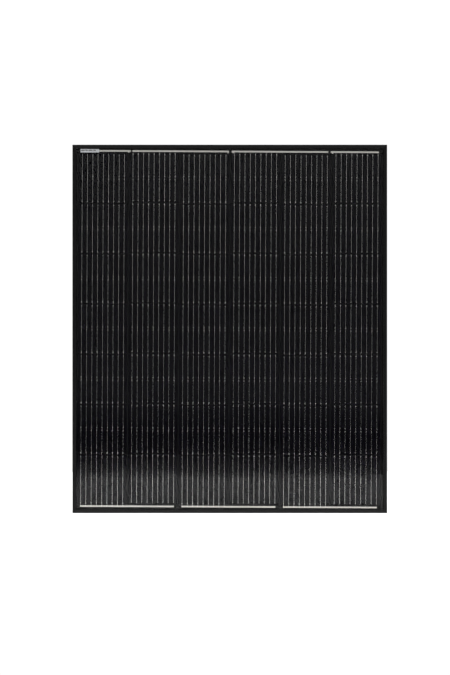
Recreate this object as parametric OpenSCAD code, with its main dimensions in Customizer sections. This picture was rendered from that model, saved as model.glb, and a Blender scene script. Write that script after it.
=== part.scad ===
// Framed monocrystalline solar module: glass laminate in an aluminium frame,
// with a hinged-lid junction box and two cable glands on its back.
// X is to the right, Z is up, and the glass faces -Y.
// The origin is the centre of the plane that the frame's rear flanges lie on.

/* [Cells] */
// Side of one square solar cell
cell_size = 158.75; // [156.75:0.25:160]
// Number of columns of cells, each one a string
columns = 6; // [6]
// Number of rows of cells
rows = 7; // [7]
// Gap between neighbouring columns
column_gap = 3; // [2:0.5:4]
// Gap between neighbouring rows
row_gap = 1.5; // [1.5:0.1:2]
// Chamfer on each cell's corners
cell_chamfer = 1.2; // [0.5:0.1:3]
// Wires across the face of each cell
wires_per_cell = 9; // [9:2:11]
// Distance from a cell's edge to its first wire
wire_inset = 12.175; // [11:0.025:13]
// Turn of the laid-up cells inside the frame, in degrees
layup_skew = 0.3; // [0:0.05:0.35]
// Sideways offset of the laid-up cells inside the frame
layup_shift = -1.3; // [-1.5:0.1:0]
// Distance that the laid-up cells sit below the frame's middle
layup_drop = 0.6; // [0:0.1:0.8]

/* [Frame] */
// Depth of the frame from front to back
frame_depth = 35; // [35:1:40]
// Margin from the frame's side to the nearest cell
side_margin = 17.25; // [17:0.25:20]
// Margin from the frame's top or bottom to the nearest cell
end_margin = 26.375; // [26:0.125:30]
// Width of the lip round the glass
lip_width = 11; // [10:0.5:11.5]
// Width of the rear flange
flange_width = 30; // [28:0.5:30]
// Thickness of the frame's walls
frame_wall = 1.5; // [1.4:0.1:1.6]
// Depth of the groove that holds the laminate
groove_depth = 6.8; // [6.8:0.1:7]
// Length of each arm of a corner key
key_arm = 48; // [40:1:60]

/* [Fixing holes] */
// Length of a mounting slot
slot_length = 14; // [12:0.5:16]
// Width of a mounting slot
slot_width = 9; // [7:0.5:9]
// Distance between the outer pair of slots on one rail
outer_slot_spacing = 800; // [760:10:840]
// Distance between the inner pair of slots on one rail
inner_slot_spacing = 400; // [360:10:440]
// Distance from the frame's side to the middle of the slots
slot_inset = 20.5; // [20:0.5:21.5]
// Diameter of an earthing hole
earth_hole_d = 4.2; // [4:0.1:5]
// Distance between the two earthing holes on one rail
earth_hole_spacing = 600; // [560:10:640]
// Diameter of a drain hole
drain_hole_d = 4; // [3:0.5:5]

/* [Laminate] */
// Thickness of the front glass
glass_t = 3.2; // [3.2]
// Distance from the frame's side to the edge of the laminate
laminate_inset = 3; // [2.5:0.1:4]
// Thickness of a solar cell
cell_t = 0.2; // [0.16:0.02:0.24]
// Thickness of a wire
wire_t = 0.35; // [0.3:0.05:0.35]
// Width of a bus ribbon
bus_width = 5; // [4:0.5:5]
// Distance from the frame's top or bottom to the middle of a bus ribbon
bus_inset = 20.1; // [19.5:0.1:20.5]
// Width of a ribbon that leads out to the junction box
lead_width = 4; // [3:0.5:4]

/* [Junction box] */
// Width of the junction box
box_w = 138; // [130:1:150]
// Height of the junction box
box_h = 100; // [96:1:104]
// Distance from the frame's top to the top of the junction box
box_drop = 55.5; // [54:0.5:60]
// Thickness of the box's walls
box_wall = 3; // [2.5:0.1:3]
// Distance from the back of the laminate to the rim of the box
box_rim = 20.8; // [20.5:0.1:21]
// Thickness of the lid
lid_t = 2.5; // [2:0.1:2.8]
// Distance between neighbouring terminals
terminal_pitch = 26; // [25:0.5:27]

/* [Cable glands] */
// Distance between the two glands
gland_spacing = 84; // [80:1:88]
// Diameter of the threaded neck
neck_d = 15; // [15]
// Bore of the rubber seal, for a 6 mm solar cable
seal_bore_d = 6.4; // [6.2:0.1:6.6]
// Size of the cap nut across its flats
nut_flats = 18; // [18:0.1:18.4]

/* [Hidden] */
$fn = 48;
eps = 0.01;
slack = 0.3;      // gap between pieces that move past each other
running = 0.06;   // radial clearance of a turning fit

column_pitch = cell_size + column_gap;
row_pitch = cell_size + row_gap;
panel_w = columns * cell_size + (columns - 1) * column_gap + 2 * side_margin;
panel_h = rows * cell_size + (rows - 1) * row_gap + 2 * end_margin;
wire_pitch = (cell_size - 2 * wire_inset) / (wires_per_cell - 1);
first_cell_top = row_z(1) + cell_size / 2;
wire_set_back = 4;   // a wire on a cell starts this far inside its edge

// Depths, measured back from the frame's front face
lip_t = frame_wall;
glass_front = lip_t + 0.7;
glass_back = glass_front + glass_t;
wire_front = glass_back + 0.35;
cell_front = wire_front + wire_t;
cell_back = cell_front + cell_t;
wire_back = cell_back + wire_t;
insulation_back = wire_back + 0.15;
lead_back = insulation_back + 0.25;
rear_film_back = lead_back + 0.2;
laminate_back = rear_film_back + 0.35;
groove_back = lip_t + groove_depth;
shelf_back = groove_back + frame_wall;
flange_front = frame_depth - frame_wall;
label_t = 0.15;

laminate_w = panel_w - 2 * laminate_inset;
laminate_h = panel_h - 2 * laminate_inset;

// Bus ribbons along the top: first column, last column, overhang past the first and the last wire
top_buses = [[1, 1, 5, 20], [2, 3, 2, 9], [4, 5, 9, 2.5], [6, 6, 17, 2]];
// Bus ribbons along the bottom: first column and last column
bottom_buses = [[1, 2], [3, 4], [5, 6]];
bottom_overhang = 1.5;
bus_z = panel_h / 2 - bus_inset;

// Ribbons that lead from the top bus ribbons to the junction box: where each leaves its bus ribbon,
// the height of its sideways run, and the terminal that it ends on
lead_start_x = [-325, -8, 8, 325];
lead_run_drop = [40.5, 48.5, 48.5, 40.5];
lead_run_z = [for (drop = lead_run_drop) panel_h / 2 - drop];
insulation_margin = 5;

// Junction box, with depths measured in the same way as the laminate's
box_top = panel_h / 2 - box_drop;
box_bottom = box_top - box_h;
box_mid = (box_top + box_bottom) / 2;
box_corner_r = 6;
adhesive_t = 1;
box_floor_front = laminate_back + adhesive_t;
box_floor_t = 2.5;
box_floor_back = box_floor_front + box_floor_t;
box_rim_depth = laminate_back + box_rim;
lid_front = box_rim_depth + slack;
lid_back = lid_front + lid_t;
tongue_depth = 3;
tongue_t = 1.5;
tongue_gap = 0.4;
seal_groove_w = 1.6;
seal_groove_depth = 1;
window_w = 104;
window_h = 14;
window_bottom = box_top - 27;
pad_t = 2;
terminal_w = 16;
terminal_t = 1.2;
terminal_front = box_floor_back + pad_t;
terminal_back = terminal_front + terminal_t;
terminal_top = box_top - 29;
terminal_h = 40;
upstand_z = box_top - 23;
diode_r = 4.2;
diode_length = 9;
diode_lead_r = 0.6;
diode_z = terminal_top - 24;
diode_depth = terminal_back + diode_r + 0.2;
clamp_w = 10;
clamp_h = 14;
clamp_bottom = terminal_top - terminal_h - clamp_h;
conductor_r = 1.8;
clamp_back = terminal_back + 9;

// Lid hinge
hinge_z = box_top + 4.5;
hinge_depth = box_rim_depth - 1;
hinge_x = 42;
hinge_pin_r = 1.6;
ear_r = 3.2;
ear_t = 3;
lug_w = 5.4;
lug_r = 3;
tab_x = 20;
tab_w = 12;
tab_t = 1.2;
tab_gap = 0.5;
nib_h = 0.35;

// Glands, with places along their axis measured down from the bottom of the box
gland_depth = laminate_back + 11.3;
neck_r = neck_d / 2;
neck_length = 14;
flange_r = 9.6;
gland_flange_t = 2;
throat_r = 3.6;
pocket_r = 5.6;
pocket_length = 8;
seal_length = 6.5;
stub_r = 6;
ring_t = 3.4;
ring_r = 7.2;
nose_r = 5.2;
nose_length = 1.5;
ring_bore_r = 3.9;
nut_start = 3;
nut_length = 19;
nut_end_t = 4;
nut_mouth_r = 4.5;

breather_r = 5;
breather_stem_r = 2.5;

// Middle of a column or row of cells, and of one wire on a column
function column_x(column) = (column - (columns + 1) / 2) * column_pitch + layup_shift;
function row_z(row) = ((rows + 1) / 2 - row) * row_pitch;
function wire_x(column, wire) = column_x(column) + (wire - (wires_per_cell + 1) / 2) * wire_pitch;
// Y of a depth measured back from the frame's front face
function y_at(depth) = depth - frame_depth;
function terminal_x(index) = (index - 2.5) * terminal_pitch;

// Block between two X values, two depths and two Z values
module block(x, depth, z) {
    translate([x[0], y_at(depth[0]), z[0]])
        cube([x[1] - x[0], depth[1] - depth[0], z[1] - z[0]]);
}

// Plate of the given outline in X and Z, between two depths
module plate(depth) {
    translate([0, y_at(depth[1]), 0])
        rotate([90, 0, 0])
            linear_extrude(depth[1] - depth[0])
                children();
}

// Sheet as large as the laminate, between two depths
module laminate_sheet(depth) {
    plate(depth)
        square([laminate_w, laminate_h], center = true);
}

// Turned piece on an axis along Y, between two depths
module disc(x, z, depth, r) {
    translate([x, y_at(depth[1]), z])
        rotate([90, 0, 0])
            cylinder(r = r, h = depth[1] - depth[0]);
}

module rounded_rectangle(w, h, r) {
    square([w, h - 2 * r], center = true);
    square([w - 2 * r, h], center = true);
    for (x = [-1, 1], z = [-1, 1])
        translate([x * (w / 2 - r), z * (h / 2 - r)])
            circle(r);
}

// Everything laid up on the glass turns by the same small angle and sits equally low
module layup() {
    translate([0, 0, -layup_drop])
        rotate([0, layup_skew, 0])
            children();
}

// ---- Frame ----

// Section of a rail: X is inward from its outer face, Y is back from the front face
module rail_section() {
    difference() {
        union() {
            square([lip_width, frame_depth]);
            translate([0, flange_front])
                square([flange_width, frame_wall]);
        }
        // Groove for the laminate, open inward
        translate([frame_wall, lip_t])
            square([lip_width, groove_depth]);
        // Closed chamber for the corner keys
        translate([frame_wall, shelf_back])
            square([lip_width - 2 * frame_wall, flange_front - shelf_back]);
    }
}

// One rail with mitred ends, on the Z axis, its outer face at X = 0
module mitred_rail(length) {
    intersection() {
        translate([0, -frame_depth, -length / 2])
            linear_extrude(length)
                rail_section();
        translate([0, 1, 0])
            rotate([90, 0, 0])
                linear_extrude(frame_depth + 2)
                    polygon([
                        [0, -length / 2],
                        [0, length / 2],
                        [flange_width, length / 2 - flange_width],
                        [flange_width, flange_width - length / 2]
                    ]);
    }
}

module flange_hole(x, z, r) {
    disc(x, z, [flange_front - 1, frame_depth + 1], r);
}

module mounting_slot(z) {
    half_run = (slot_length - slot_width) / 2;
    for (end = [-1, 1])
        flange_hole(slot_inset, z + end * half_run, slot_width / 2);
    translate([slot_inset - slot_width / 2, y_at(flange_front) - 1, z - half_run])
        cube([slot_width, frame_wall + 2, 2 * half_run]);
}

// Holes that let water out of the chamber, near both ends of a rail
module drain_holes(length) {
    for (end = [-1, 1])
        flange_hole(lip_width / 2, end * (length / 2 - 2 * key_arm), drain_hole_d / 2);
}

// Rail with the mounting slots, its outer face at X = 0
module side_rail() {
    difference() {
        mitred_rail(panel_h);
        for (end = [-1, 1]) {
            mounting_slot(end * outer_slot_spacing / 2);
            mounting_slot(end * inner_slot_spacing / 2);
            flange_hole(slot_inset, end * earth_hole_spacing / 2, earth_hole_d / 2);
        }
        drain_holes(panel_h);
    }
}

module end_rail() {
    difference() {
        mitred_rail(panel_w);
        drain_holes(panel_w);
    }
}

module frame_left_rail() {
    color([0.05, 0.05, 0.055])
        translate([-panel_w / 2, 0, 0])
            side_rail();
}

module frame_right_rail() {
    mirror([1, 0, 0])
        frame_left_rail();
}

module frame_bottom_rail() {
    color([0.05, 0.05, 0.055])
        translate([0, 0, -panel_h / 2])
            rotate([0, -90, 0])
                end_rail();
}

module frame_top_rail() {
    mirror([0, 0, 1])
        frame_bottom_rail();
}

// Angle key that fills the chambers on both sides of a mitre, with crimping notches
module corner_key(side, end) {
    fit = 0.05;
    near = frame_wall + fit;
    far = lip_width - frame_wall - fit;
    notch = 1.2;
    color([0.62, 0.63, 0.65])
        scale([side, 1, end])
            translate([panel_w / 2, 0, panel_h / 2])
                plate([shelf_back + fit, flange_front - fit])
                    difference() {
                        polygon([
                            [-near, -near],
                            [-near, -near - key_arm],
                            [-far, -near - key_arm],
                            [-far, -far],
                            [-near - key_arm, -far],
                            [-near - key_arm, -near]
                        ]);
                        for (k = [1 : 4]) {
                            run = -far - k * key_arm / 6;
                            translate([-far, run])
                                rotate(45)
                                    square(notch, center = true);
                            translate([run, -far])
                                rotate(45)
                                    square(notch, center = true);
                        }
                    }
}

// ---- Laminate ----

// Silicone that beds the laminate's edge in the groove on all four sides
module edge_sealant() {
    setback = 0.8;
    color([0.03, 0.03, 0.03])
        difference() {
            plate([lip_t, groove_back])
                square([panel_w - 2 * frame_wall, panel_h - 2 * frame_wall], center = true);
            laminate_sheet([glass_front, laminate_back]);
            plate([lip_t - 1, groove_back + 1])
                square([
                    panel_w - 2 * (lip_width - setback),
                    panel_h - 2 * (lip_width - setback)
                ], center = true);
        }
}

module front_glass() {
    color([0.5, 0.6, 0.65, 0.3])
        laminate_sheet([glass_front, glass_back]);
}

module front_encapsulant() {
    color([0.8, 0.8, 0.8, 0.3])
        difference() {
            laminate_sheet([glass_back, wire_front]);
            layup()
                label_block(label_t + eps);
        }
}

// Small sticker laid over the left end of the first bus ribbon
module label_block(t) {
    label_w = 59.5;
    label_h = 11;
    left = wire_x(1, 1) - 6;
    block([left, left + label_w], [wire_front - label_t, wire_front - label_t + t],
        [bus_z - label_h / 2, bus_z + label_h / 2]);
}

module front_label() {
    color([0.85, 0.85, 0.85])
        layup()
            label_block(label_t);
}

module cell_outline() {
    half = cell_size / 2;
    cut = half - cell_chamfer;
    polygon([
        [-half, -cut], [-cut, -half], [cut, -half], [half, -cut],
        [half, cut], [cut, half], [-cut, half], [-half, cut]
    ]);
}

module cell_string(column) {
    color([0.08, 0.08, 0.12])
        layup()
            for (row = [1 : rows])
                translate([column_x(column), 0, row_z(row)])
                    plate([cell_front, cell_back])
                        cell_outline();
}

// Wire of a constant width whose side outline is given as depth and Z
module wire_from_outline(x, outline) {
    translate([x - wire_t / 2, -frame_depth, 0])
        rotate([90, 0, 90])
            linear_extrude(wire_t)
                polygon(outline);
}

// Wires of one string: each joins the front of a cell to the back of the cell below it.
// The last ones run on to the bottom bus ribbon and the first ones to the top bus ribbon.
module downward_wires(column) {
    bus_far = bus_z + bus_width / 2;
    for (wire = [1 : wires_per_cell]) {
        x = wire_x(column, wire);
        for (row = [1 : rows - 1]) {
            above_bottom = row_z(row) - cell_size / 2;
            below_top = row_z(row + 1) + cell_size / 2;
            start = row_z(row) + cell_size / 2 - wire_set_back;
            finish = row_z(row + 1) - cell_size / 2 + wire_set_back;
            wire_from_outline(x, [
                [wire_front, start],
                [wire_front, above_bottom],
                [cell_back, below_top],
                [cell_back, finish],
                [wire_back, finish],
                [wire_back, below_top],
                [cell_front, above_bottom],
                [cell_front, start]
            ]);
        }
        block([x - wire_t / 2, x + wire_t / 2], [wire_front, cell_front],
            [-bus_far, row_z(rows) + cell_size / 2 - wire_set_back]);
        block([x - wire_t / 2, x + wire_t / 2], [cell_back, wire_back],
            [row_z(1) - cell_size / 2 + wire_set_back, bus_far]);
    }
}

module string_wires(column) {
    color([0.55, 0.55, 0.58])
        layup()
            mirror([0, 0, (column + 1) % 2])
                downward_wires(column);
}

module top_bus_ribbon(index) {
    bus = top_buses[index - 1];
    color([0.75, 0.75, 0.75])
        layup()
            block([wire_x(bus[0], 1) - bus[2], wire_x(bus[1], wires_per_cell) + bus[3]],
                [cell_front, cell_back], [bus_z - bus_width / 2, bus_z + bus_width / 2]);
}

module bottom_bus_ribbon(index) {
    bus = bottom_buses[index - 1];
    color([0.8, 0.8, 0.8])
        layup()
            block([
                    wire_x(bus[0], 1) - bottom_overhang,
                    wire_x(bus[1], wires_per_cell) + bottom_overhang
                ],
                [cell_front, cell_back], [-bus_z - bus_width / 2, -bus_z + bus_width / 2]);
}

// Flat ribbon from a top bus ribbon, behind the top row of cells, up into the junction box
module lead_out_ribbon(index) {
    half = lead_width / 2;
    start_x = lead_start_x[index - 1];
    run_z = lead_run_z[index - 1];
    end_x = terminal_x(index);
    fold_t = lead_back - insulation_back;
    flat = [insulation_back, lead_back];
    color([0.75, 0.75, 0.75])
        layup() {
            block([start_x - half, start_x + half], [cell_back, lead_back],
                [bus_z - bus_width / 2, bus_z + bus_width / 2]);
            block([start_x - half, start_x + half], flat, [run_z - half, bus_z]);
            block([min(start_x, end_x) - half, max(start_x, end_x) + half], flat,
                [run_z - half, run_z + half]);
            block([end_x - half, end_x + half], flat, [upstand_z, run_z]);
            block([end_x - half, end_x + half], [insulation_back, terminal_back + fold_t],
                [upstand_z, upstand_z + fold_t]);
            block([end_x - half, end_x + half], [terminal_back, terminal_back + fold_t],
                [terminal_top - 12, upstand_z + fold_t]);
        }
}

// Strip and patch behind the cells, where the lead-out ribbons pass
module insulation_blocks(depth) {
    half_run = lead_start_x[3] + lead_width / 2 + insulation_margin;
    half_patch = 1.5 * terminal_pitch + lead_width / 2 + insulation_margin;
    low = lead_run_z[0] - lead_width / 2 - insulation_margin;
    block([-half_run, half_run], depth, [low, first_cell_top + 1]);
    block([-half_patch, half_patch], depth, [upstand_z - insulation_margin, low + eps]);
}

// Black strip that keeps the lead-out ribbons off the backs of the cells
module lead_insulation() {
    color([0.04, 0.04, 0.04])
        layup()
            insulation_blocks([wire_back, insulation_back]);
}

// Opening that the lead-out ribbons rise through
module lead_window(depth) {
    block([-window_w / 2, window_w / 2], depth, [window_bottom, window_bottom + window_h]);
}

module rear_encapsulant() {
    pocket = [cell_back, lead_back];
    color([0.04, 0.04, 0.045])
        difference() {
            laminate_sheet([wire_back, rear_film_back]);
            // Pocket round the lead-out ribbons and their insulation
            layup() {
                insulation_blocks(pocket);
                for (x = lead_start_x)
                    block([x - lead_width / 2, x + lead_width / 2], pocket,
                        [first_cell_top, bus_z + bus_width / 2]);
            }
            lead_window([insulation_back, rear_film_back + 1]);
        }
}

module backsheet() {
    color([0.05, 0.05, 0.05])
        difference() {
            laminate_sheet([rear_film_back, laminate_back]);
            lead_window([rear_film_back - 1, laminate_back + 1]);
        }
}

module rating_label() {
    label_w = 120;
    label_h = 80;
    color([0.8, 0.8, 0.8])
        translate([0, 0, box_bottom - 130])
            plate([laminate_back, laminate_back + label_t])
                rounded_rectangle(label_w, label_h, 3);
}

// ---- Junction box ----

// Outline of the junction box, made smaller by an inset
module box_outline(inset) {
    translate([0, box_mid])
        rounded_rectangle(box_w - 2 * inset, box_h - 2 * inset, box_corner_r - inset);
}

module box_adhesive() {
    inset = 2;
    color([0.85, 0.85, 0.85])
        difference() {
            plate([laminate_back, box_floor_front])
                box_outline(inset);
            lead_window([laminate_back - 1, box_floor_front + 1]);
        }
}

module gland_axis(x, from, length, r) {
    translate([x, y_at(gland_depth), box_bottom - from - length])
        cylinder(r = r, h = length);
}

module box_base() {
    rib_t = 1.2;
    rib_back = terminal_back - 0.6;
    fit = 0.05;
    color([0.06, 0.06, 0.065])
        difference() {
            union() {
                plate([box_floor_front, box_floor_back])
                    box_outline(0);
                plate([box_floor_front, box_rim_depth])
                    difference() {
                        box_outline(0);
                        box_outline(box_wall);
                    }
                terminal_pads();
                // Ribs that keep neighbouring terminals apart
                for (i = [1 : 3])
                    translate([(i - 2) * terminal_pitch, 0, 0])
                        block([-rib_t / 2, rib_t / 2], [box_floor_back - eps, rib_back],
                            [terminal_top - terminal_h, terminal_top]);
                for (side = [-1, 1], ear = [-1, 1])
                    hinge_ear(side * hinge_x + ear * (lug_w + ear_t + 2 * slack) / 2);
                // Catches for the lid's snap tabs
                for (side = [-1, 1])
                    block([side * tab_x - tab_w / 2, side * tab_x + tab_w / 2],
                        [box_rim_depth - 6, box_rim_depth - 3],
                        [box_bottom - nib_h, box_bottom + eps]);
            }
            lead_window([box_floor_front - 1, box_floor_back + 1]);
            for (side = [-1, 1])
                gland_axis(side * gland_spacing / 2, -box_wall - 1, box_wall + 2, stub_r + fit);
            gland_axis(0, -box_wall - 1, box_wall + 2, breather_stem_r + fit);
        }
}

// Raised pads that the terminals stand on
module terminal_pads() {
    for (i = [1 : 4])
        translate([terminal_x(i), 0, 0])
            block([-terminal_w / 2 + 1, terminal_w / 2 - 1], [box_floor_back - eps, terminal_front],
                [terminal_top - terminal_h, terminal_top]);
}

// Ear of the lid's hinge, with a bore for the lid's moulded pin
module hinge_ear(x) {
    difference() {
        union() {
            hinge_cylinder(x, ear_t, ear_r);
            block([x - ear_t / 2, x + ear_t / 2], [hinge_depth - 10, hinge_depth],
                [box_top - eps, hinge_z + ear_r]);
        }
        hinge_cylinder(x, ear_t + 2, hinge_pin_r + running);
    }
}

// Round piece on the lid's hinge axis
module hinge_cylinder(x, length, r) {
    translate([x - length / 2, y_at(hinge_depth), hinge_z])
        rotate([0, 90, 0])
            cylinder(r = r, h = length);
}

module box_lid() {
    pin_length = lug_w + 2 * ear_t + 2 * slack;
    color([0.07, 0.07, 0.075])
        difference() {
            union() {
                plate([lid_front, lid_back])
                    box_outline(0);
                // Tongue that drops inside the rim
                plate([lid_front - tongue_depth, lid_front + eps])
                    difference() {
                        box_outline(box_wall + tongue_gap);
                        box_outline(box_wall + tongue_gap + tongue_t);
                    }
                for (side = [-1, 1]) {
                    hinge_cylinder(side * hinge_x, lug_w, lug_r);
                    hinge_cylinder(side * hinge_x, pin_length, hinge_pin_r);
                    block([side * hinge_x - lug_w / 2, side * hinge_x + lug_w / 2],
                        [lid_front, lid_back], [box_top - 2, hinge_z]);
                    snap_tab(side * tab_x);
                }
            }
            plate([lid_front - eps, lid_front + seal_groove_depth])
                seal_ring_outline();
        }
}

// Ring above the middle of the base's rim
module seal_ring_outline() {
    inset = (box_wall - seal_groove_w) / 2;
    difference() {
        box_outline(inset);
        box_outline(inset + seal_groove_w);
    }
}

module lid_seal() {
    color([0.12, 0.12, 0.12])
        plate([lid_front, lid_front + seal_groove_depth])
            seal_ring_outline();
}

// Tab that holds the lid shut, hanging past the bottom of the box
module snap_tab(x) {
    far = box_bottom - nib_h - tab_gap - tab_t;
    block([x - tab_w / 2, x + tab_w / 2], [lid_front, lid_back], [far, box_bottom + 4]);
    block([x - tab_w / 2, x + tab_w / 2], [box_rim_depth - 8, lid_back], [far, far + tab_t]);
}

// Copper strip under each lead-out ribbon. The outer two carry a clamp for a cable's conductor.
module terminal(index) {
    x = terminal_x(index);
    outer = index == 1 || index == 4;
    clamp_x = sign(x) * gland_spacing / 2;
    color([0.72, 0.45, 0.25])
        difference() {
            union() {
                block([x - terminal_w / 2, x + terminal_w / 2], [terminal_front, terminal_back],
                    [terminal_top - terminal_h, terminal_top]);
                if (outer) {
                    block([clamp_x - clamp_w / 2, clamp_x + clamp_w / 2], [terminal_front, clamp_back],
                        [clamp_bottom, clamp_bottom + clamp_h + eps]);
                }
            }
            if (outer) {
                translate([clamp_x, y_at(gland_depth), clamp_bottom - 1])
                    cylinder(r = conductor_r, h = clamp_h + 2);
                disc(clamp_x, clamp_bottom + clamp_h / 2, [gland_depth, clamp_back + 1], 1.55);
            }
        }
}

// Slotted screws that clamp the cables' conductors
module clamp_screws() {
    head_r = 2.8;
    head_t = 1.6;
    slot_w = 0.7;
    color([0.7, 0.7, 0.7])
        for (side = [-1, 1])
            translate([side * gland_spacing / 2, 0, clamp_bottom + clamp_h / 2])
                difference() {
                    union() {
                        disc(0, 0, [gland_depth + conductor_r, clamp_back + eps], 1.5);
                        disc(0, 0, [clamp_back, clamp_back + head_t], head_r);
                    }
                    block([-head_r, head_r], [clamp_back + head_t / 2, clamp_back + head_t + 1],
                        [-slot_w / 2, slot_w / 2]);
                }
}

// Axial diode across two neighbouring terminals
module bypass_diode(index) {
    leg = terminal_pitch / 2 - 6;
    body_x = (index - 2) * terminal_pitch;
    color([0.06, 0.06, 0.06])
        translate([body_x, 0, diode_z]) {
            translate([-diode_length / 2, y_at(diode_depth), 0])
                rotate([0, 90, 0])
                    cylinder(r = diode_r, h = diode_length);
            translate([-leg, y_at(diode_depth), 0])
                rotate([0, 90, 0])
                    cylinder(r = diode_lead_r, h = 2 * leg);
            for (side = [-1, 1]) {
                disc(side * leg, 0, [terminal_back, diode_depth], diode_lead_r);
                translate([side * leg, y_at(diode_depth), 0])
                    sphere(r = diode_lead_r);
            }
        }
}

// Vent that lets the box breathe and keeps water out
module breather() {
    color([0.1, 0.1, 0.1]) {
        gland_axis(0, 0, 2.5, breather_r);
        gland_axis(0, -box_wall - 1, box_wall + 1 + eps, breather_stem_r);
    }
}

// ---- Cable glands ----

// Threaded neck with a flange outside the box wall and a stub through it
module gland_body(side) {
    x = side * gland_spacing / 2;
    color([0.07, 0.07, 0.075])
        difference() {
            union() {
                gland_axis(x, -box_wall, box_wall + eps, stub_r);
                gland_axis(x, 0, gland_flange_t, flange_r);
                gland_axis(x, 0, neck_length, neck_r);
            }
            gland_axis(x, -box_wall - 1, box_wall + neck_length + 2, throat_r);
            gland_axis(x, neck_length - pocket_length, pocket_length + 1, pocket_r);
        }
}

module gland_seal(side) {
    x = side * gland_spacing / 2;
    start = neck_length - pocket_length;
    color([0.15, 0.15, 0.15])
        difference() {
            gland_axis(x, start, seal_length, pocket_r);
            gland_axis(x, start - 1, seal_length + 2, seal_bore_d / 2);
        }
}

// Ring that the cap nut pushes against the seal
module slip_ring(side) {
    x = side * gland_spacing / 2;
    start = neck_length + slack;
    color([0.25, 0.25, 0.25])
        difference() {
            union() {
                gland_axis(x, start, ring_t, ring_r);
                gland_axis(x, start - nose_length, nose_length + eps, nose_r);
            }
            gland_axis(x, start - nose_length - 1, nose_length + ring_t + 2, ring_bore_r);
        }
}

// Six-sided nut with a domed end, which screws on to the neck
module cap_nut(side) {
    x = side * gland_spacing / 2;
    corner_r = nut_flats / sqrt(3);
    dome = 3;
    chamfer = 1;
    mouth_start = nut_length - nut_end_t;
    color([0.08, 0.08, 0.085])
        translate([x, y_at(gland_depth), box_bottom - nut_start])
            difference() {
                intersection() {
                    translate([0, 0, -nut_length])
                        cylinder(r = corner_r, h = nut_length, $fn = 6);
                    rotate_extrude()
                        polygon([
                            [0, 0],
                            [corner_r - chamfer, 0],
                            [corner_r, -chamfer],
                            [corner_r, dome - nut_length],
                            [corner_r - dome, -nut_length],
                            [0, -nut_length]
                        ]);
                }
                translate([0, 0, -mouth_start])
                    cylinder(r = neck_r + running, h = mouth_start + 1);
                translate([0, 0, -nut_length - 1])
                    cylinder(r = nut_mouth_r, h = nut_length);
            }
}

frame_left_rail();
frame_right_rail();
frame_top_rail();
frame_bottom_rail();
corner_key(-1, 1);  // corner_key_top_left
corner_key(1, 1);  // corner_key_top_right
corner_key(-1, -1);  // corner_key_bottom_left
corner_key(1, -1);  // corner_key_bottom_right
edge_sealant();
front_glass();
front_encapsulant();
cell_string(1);  // cell_string_1
cell_string(2);  // cell_string_2
cell_string(3);  // cell_string_3
cell_string(4);  // cell_string_4
cell_string(5);  // cell_string_5
cell_string(6);  // cell_string_6
string_wires(1);  // string_wires_1
string_wires(2);  // string_wires_2
string_wires(3);  // string_wires_3
string_wires(4);  // string_wires_4
string_wires(5);  // string_wires_5
string_wires(6);  // string_wires_6
top_bus_ribbon(1);  // top_bus_ribbon_1
top_bus_ribbon(2);  // top_bus_ribbon_2
top_bus_ribbon(3);  // top_bus_ribbon_3
top_bus_ribbon(4);  // top_bus_ribbon_4
bottom_bus_ribbon(1);  // bottom_bus_ribbon_1
bottom_bus_ribbon(2);  // bottom_bus_ribbon_2
bottom_bus_ribbon(3);  // bottom_bus_ribbon_3
lead_out_ribbon(1);  // lead_out_ribbon_1
lead_out_ribbon(2);  // lead_out_ribbon_2
lead_out_ribbon(3);  // lead_out_ribbon_3
lead_out_ribbon(4);  // lead_out_ribbon_4
lead_insulation();
rear_encapsulant();
backsheet();
front_label();
rating_label();
box_adhesive();
box_base();
box_lid();
lid_seal();
terminal(1);  // terminal_1
terminal(2);  // terminal_2
terminal(3);  // terminal_3
terminal(4);  // terminal_4
clamp_screws();
bypass_diode(1);  // bypass_diode_1
bypass_diode(2);  // bypass_diode_2
bypass_diode(3);  // bypass_diode_3
breather();
gland_body(-1);  // gland_body_left
gland_body(1);  // gland_body_right
gland_seal(-1);  // gland_seal_left
gland_seal(1);  // gland_seal_right
slip_ring(-1);  // slip_ring_left
slip_ring(1);  // slip_ring_right
cap_nut(-1);  // cap_nut_left
cap_nut(1);  // cap_nut_right
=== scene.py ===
"""Looks of the framed solar module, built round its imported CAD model.

Metres, in the model's own frame: X to the right, Z up, glass facing -Y.
Depths are in millimetres, measured back from the frame's front face, as in the CAD source.
"""
import math
import random

import bpy
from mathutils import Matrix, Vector


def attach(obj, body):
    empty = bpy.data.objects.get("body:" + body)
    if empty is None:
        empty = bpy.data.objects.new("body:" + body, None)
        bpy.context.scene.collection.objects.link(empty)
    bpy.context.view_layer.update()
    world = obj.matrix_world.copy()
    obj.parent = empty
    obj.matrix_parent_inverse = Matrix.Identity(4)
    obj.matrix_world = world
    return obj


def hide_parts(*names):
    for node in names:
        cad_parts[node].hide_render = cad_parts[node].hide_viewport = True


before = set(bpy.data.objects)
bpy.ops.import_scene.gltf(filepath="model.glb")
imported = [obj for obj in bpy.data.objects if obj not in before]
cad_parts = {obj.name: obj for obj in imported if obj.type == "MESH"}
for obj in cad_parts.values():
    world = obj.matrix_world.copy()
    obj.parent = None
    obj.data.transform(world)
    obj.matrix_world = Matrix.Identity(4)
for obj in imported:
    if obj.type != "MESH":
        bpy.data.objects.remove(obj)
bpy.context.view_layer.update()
rng = random.Random(11)

MM = 0.001

# ---- Sizes, in millimetres, as in the CAD source ----

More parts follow.
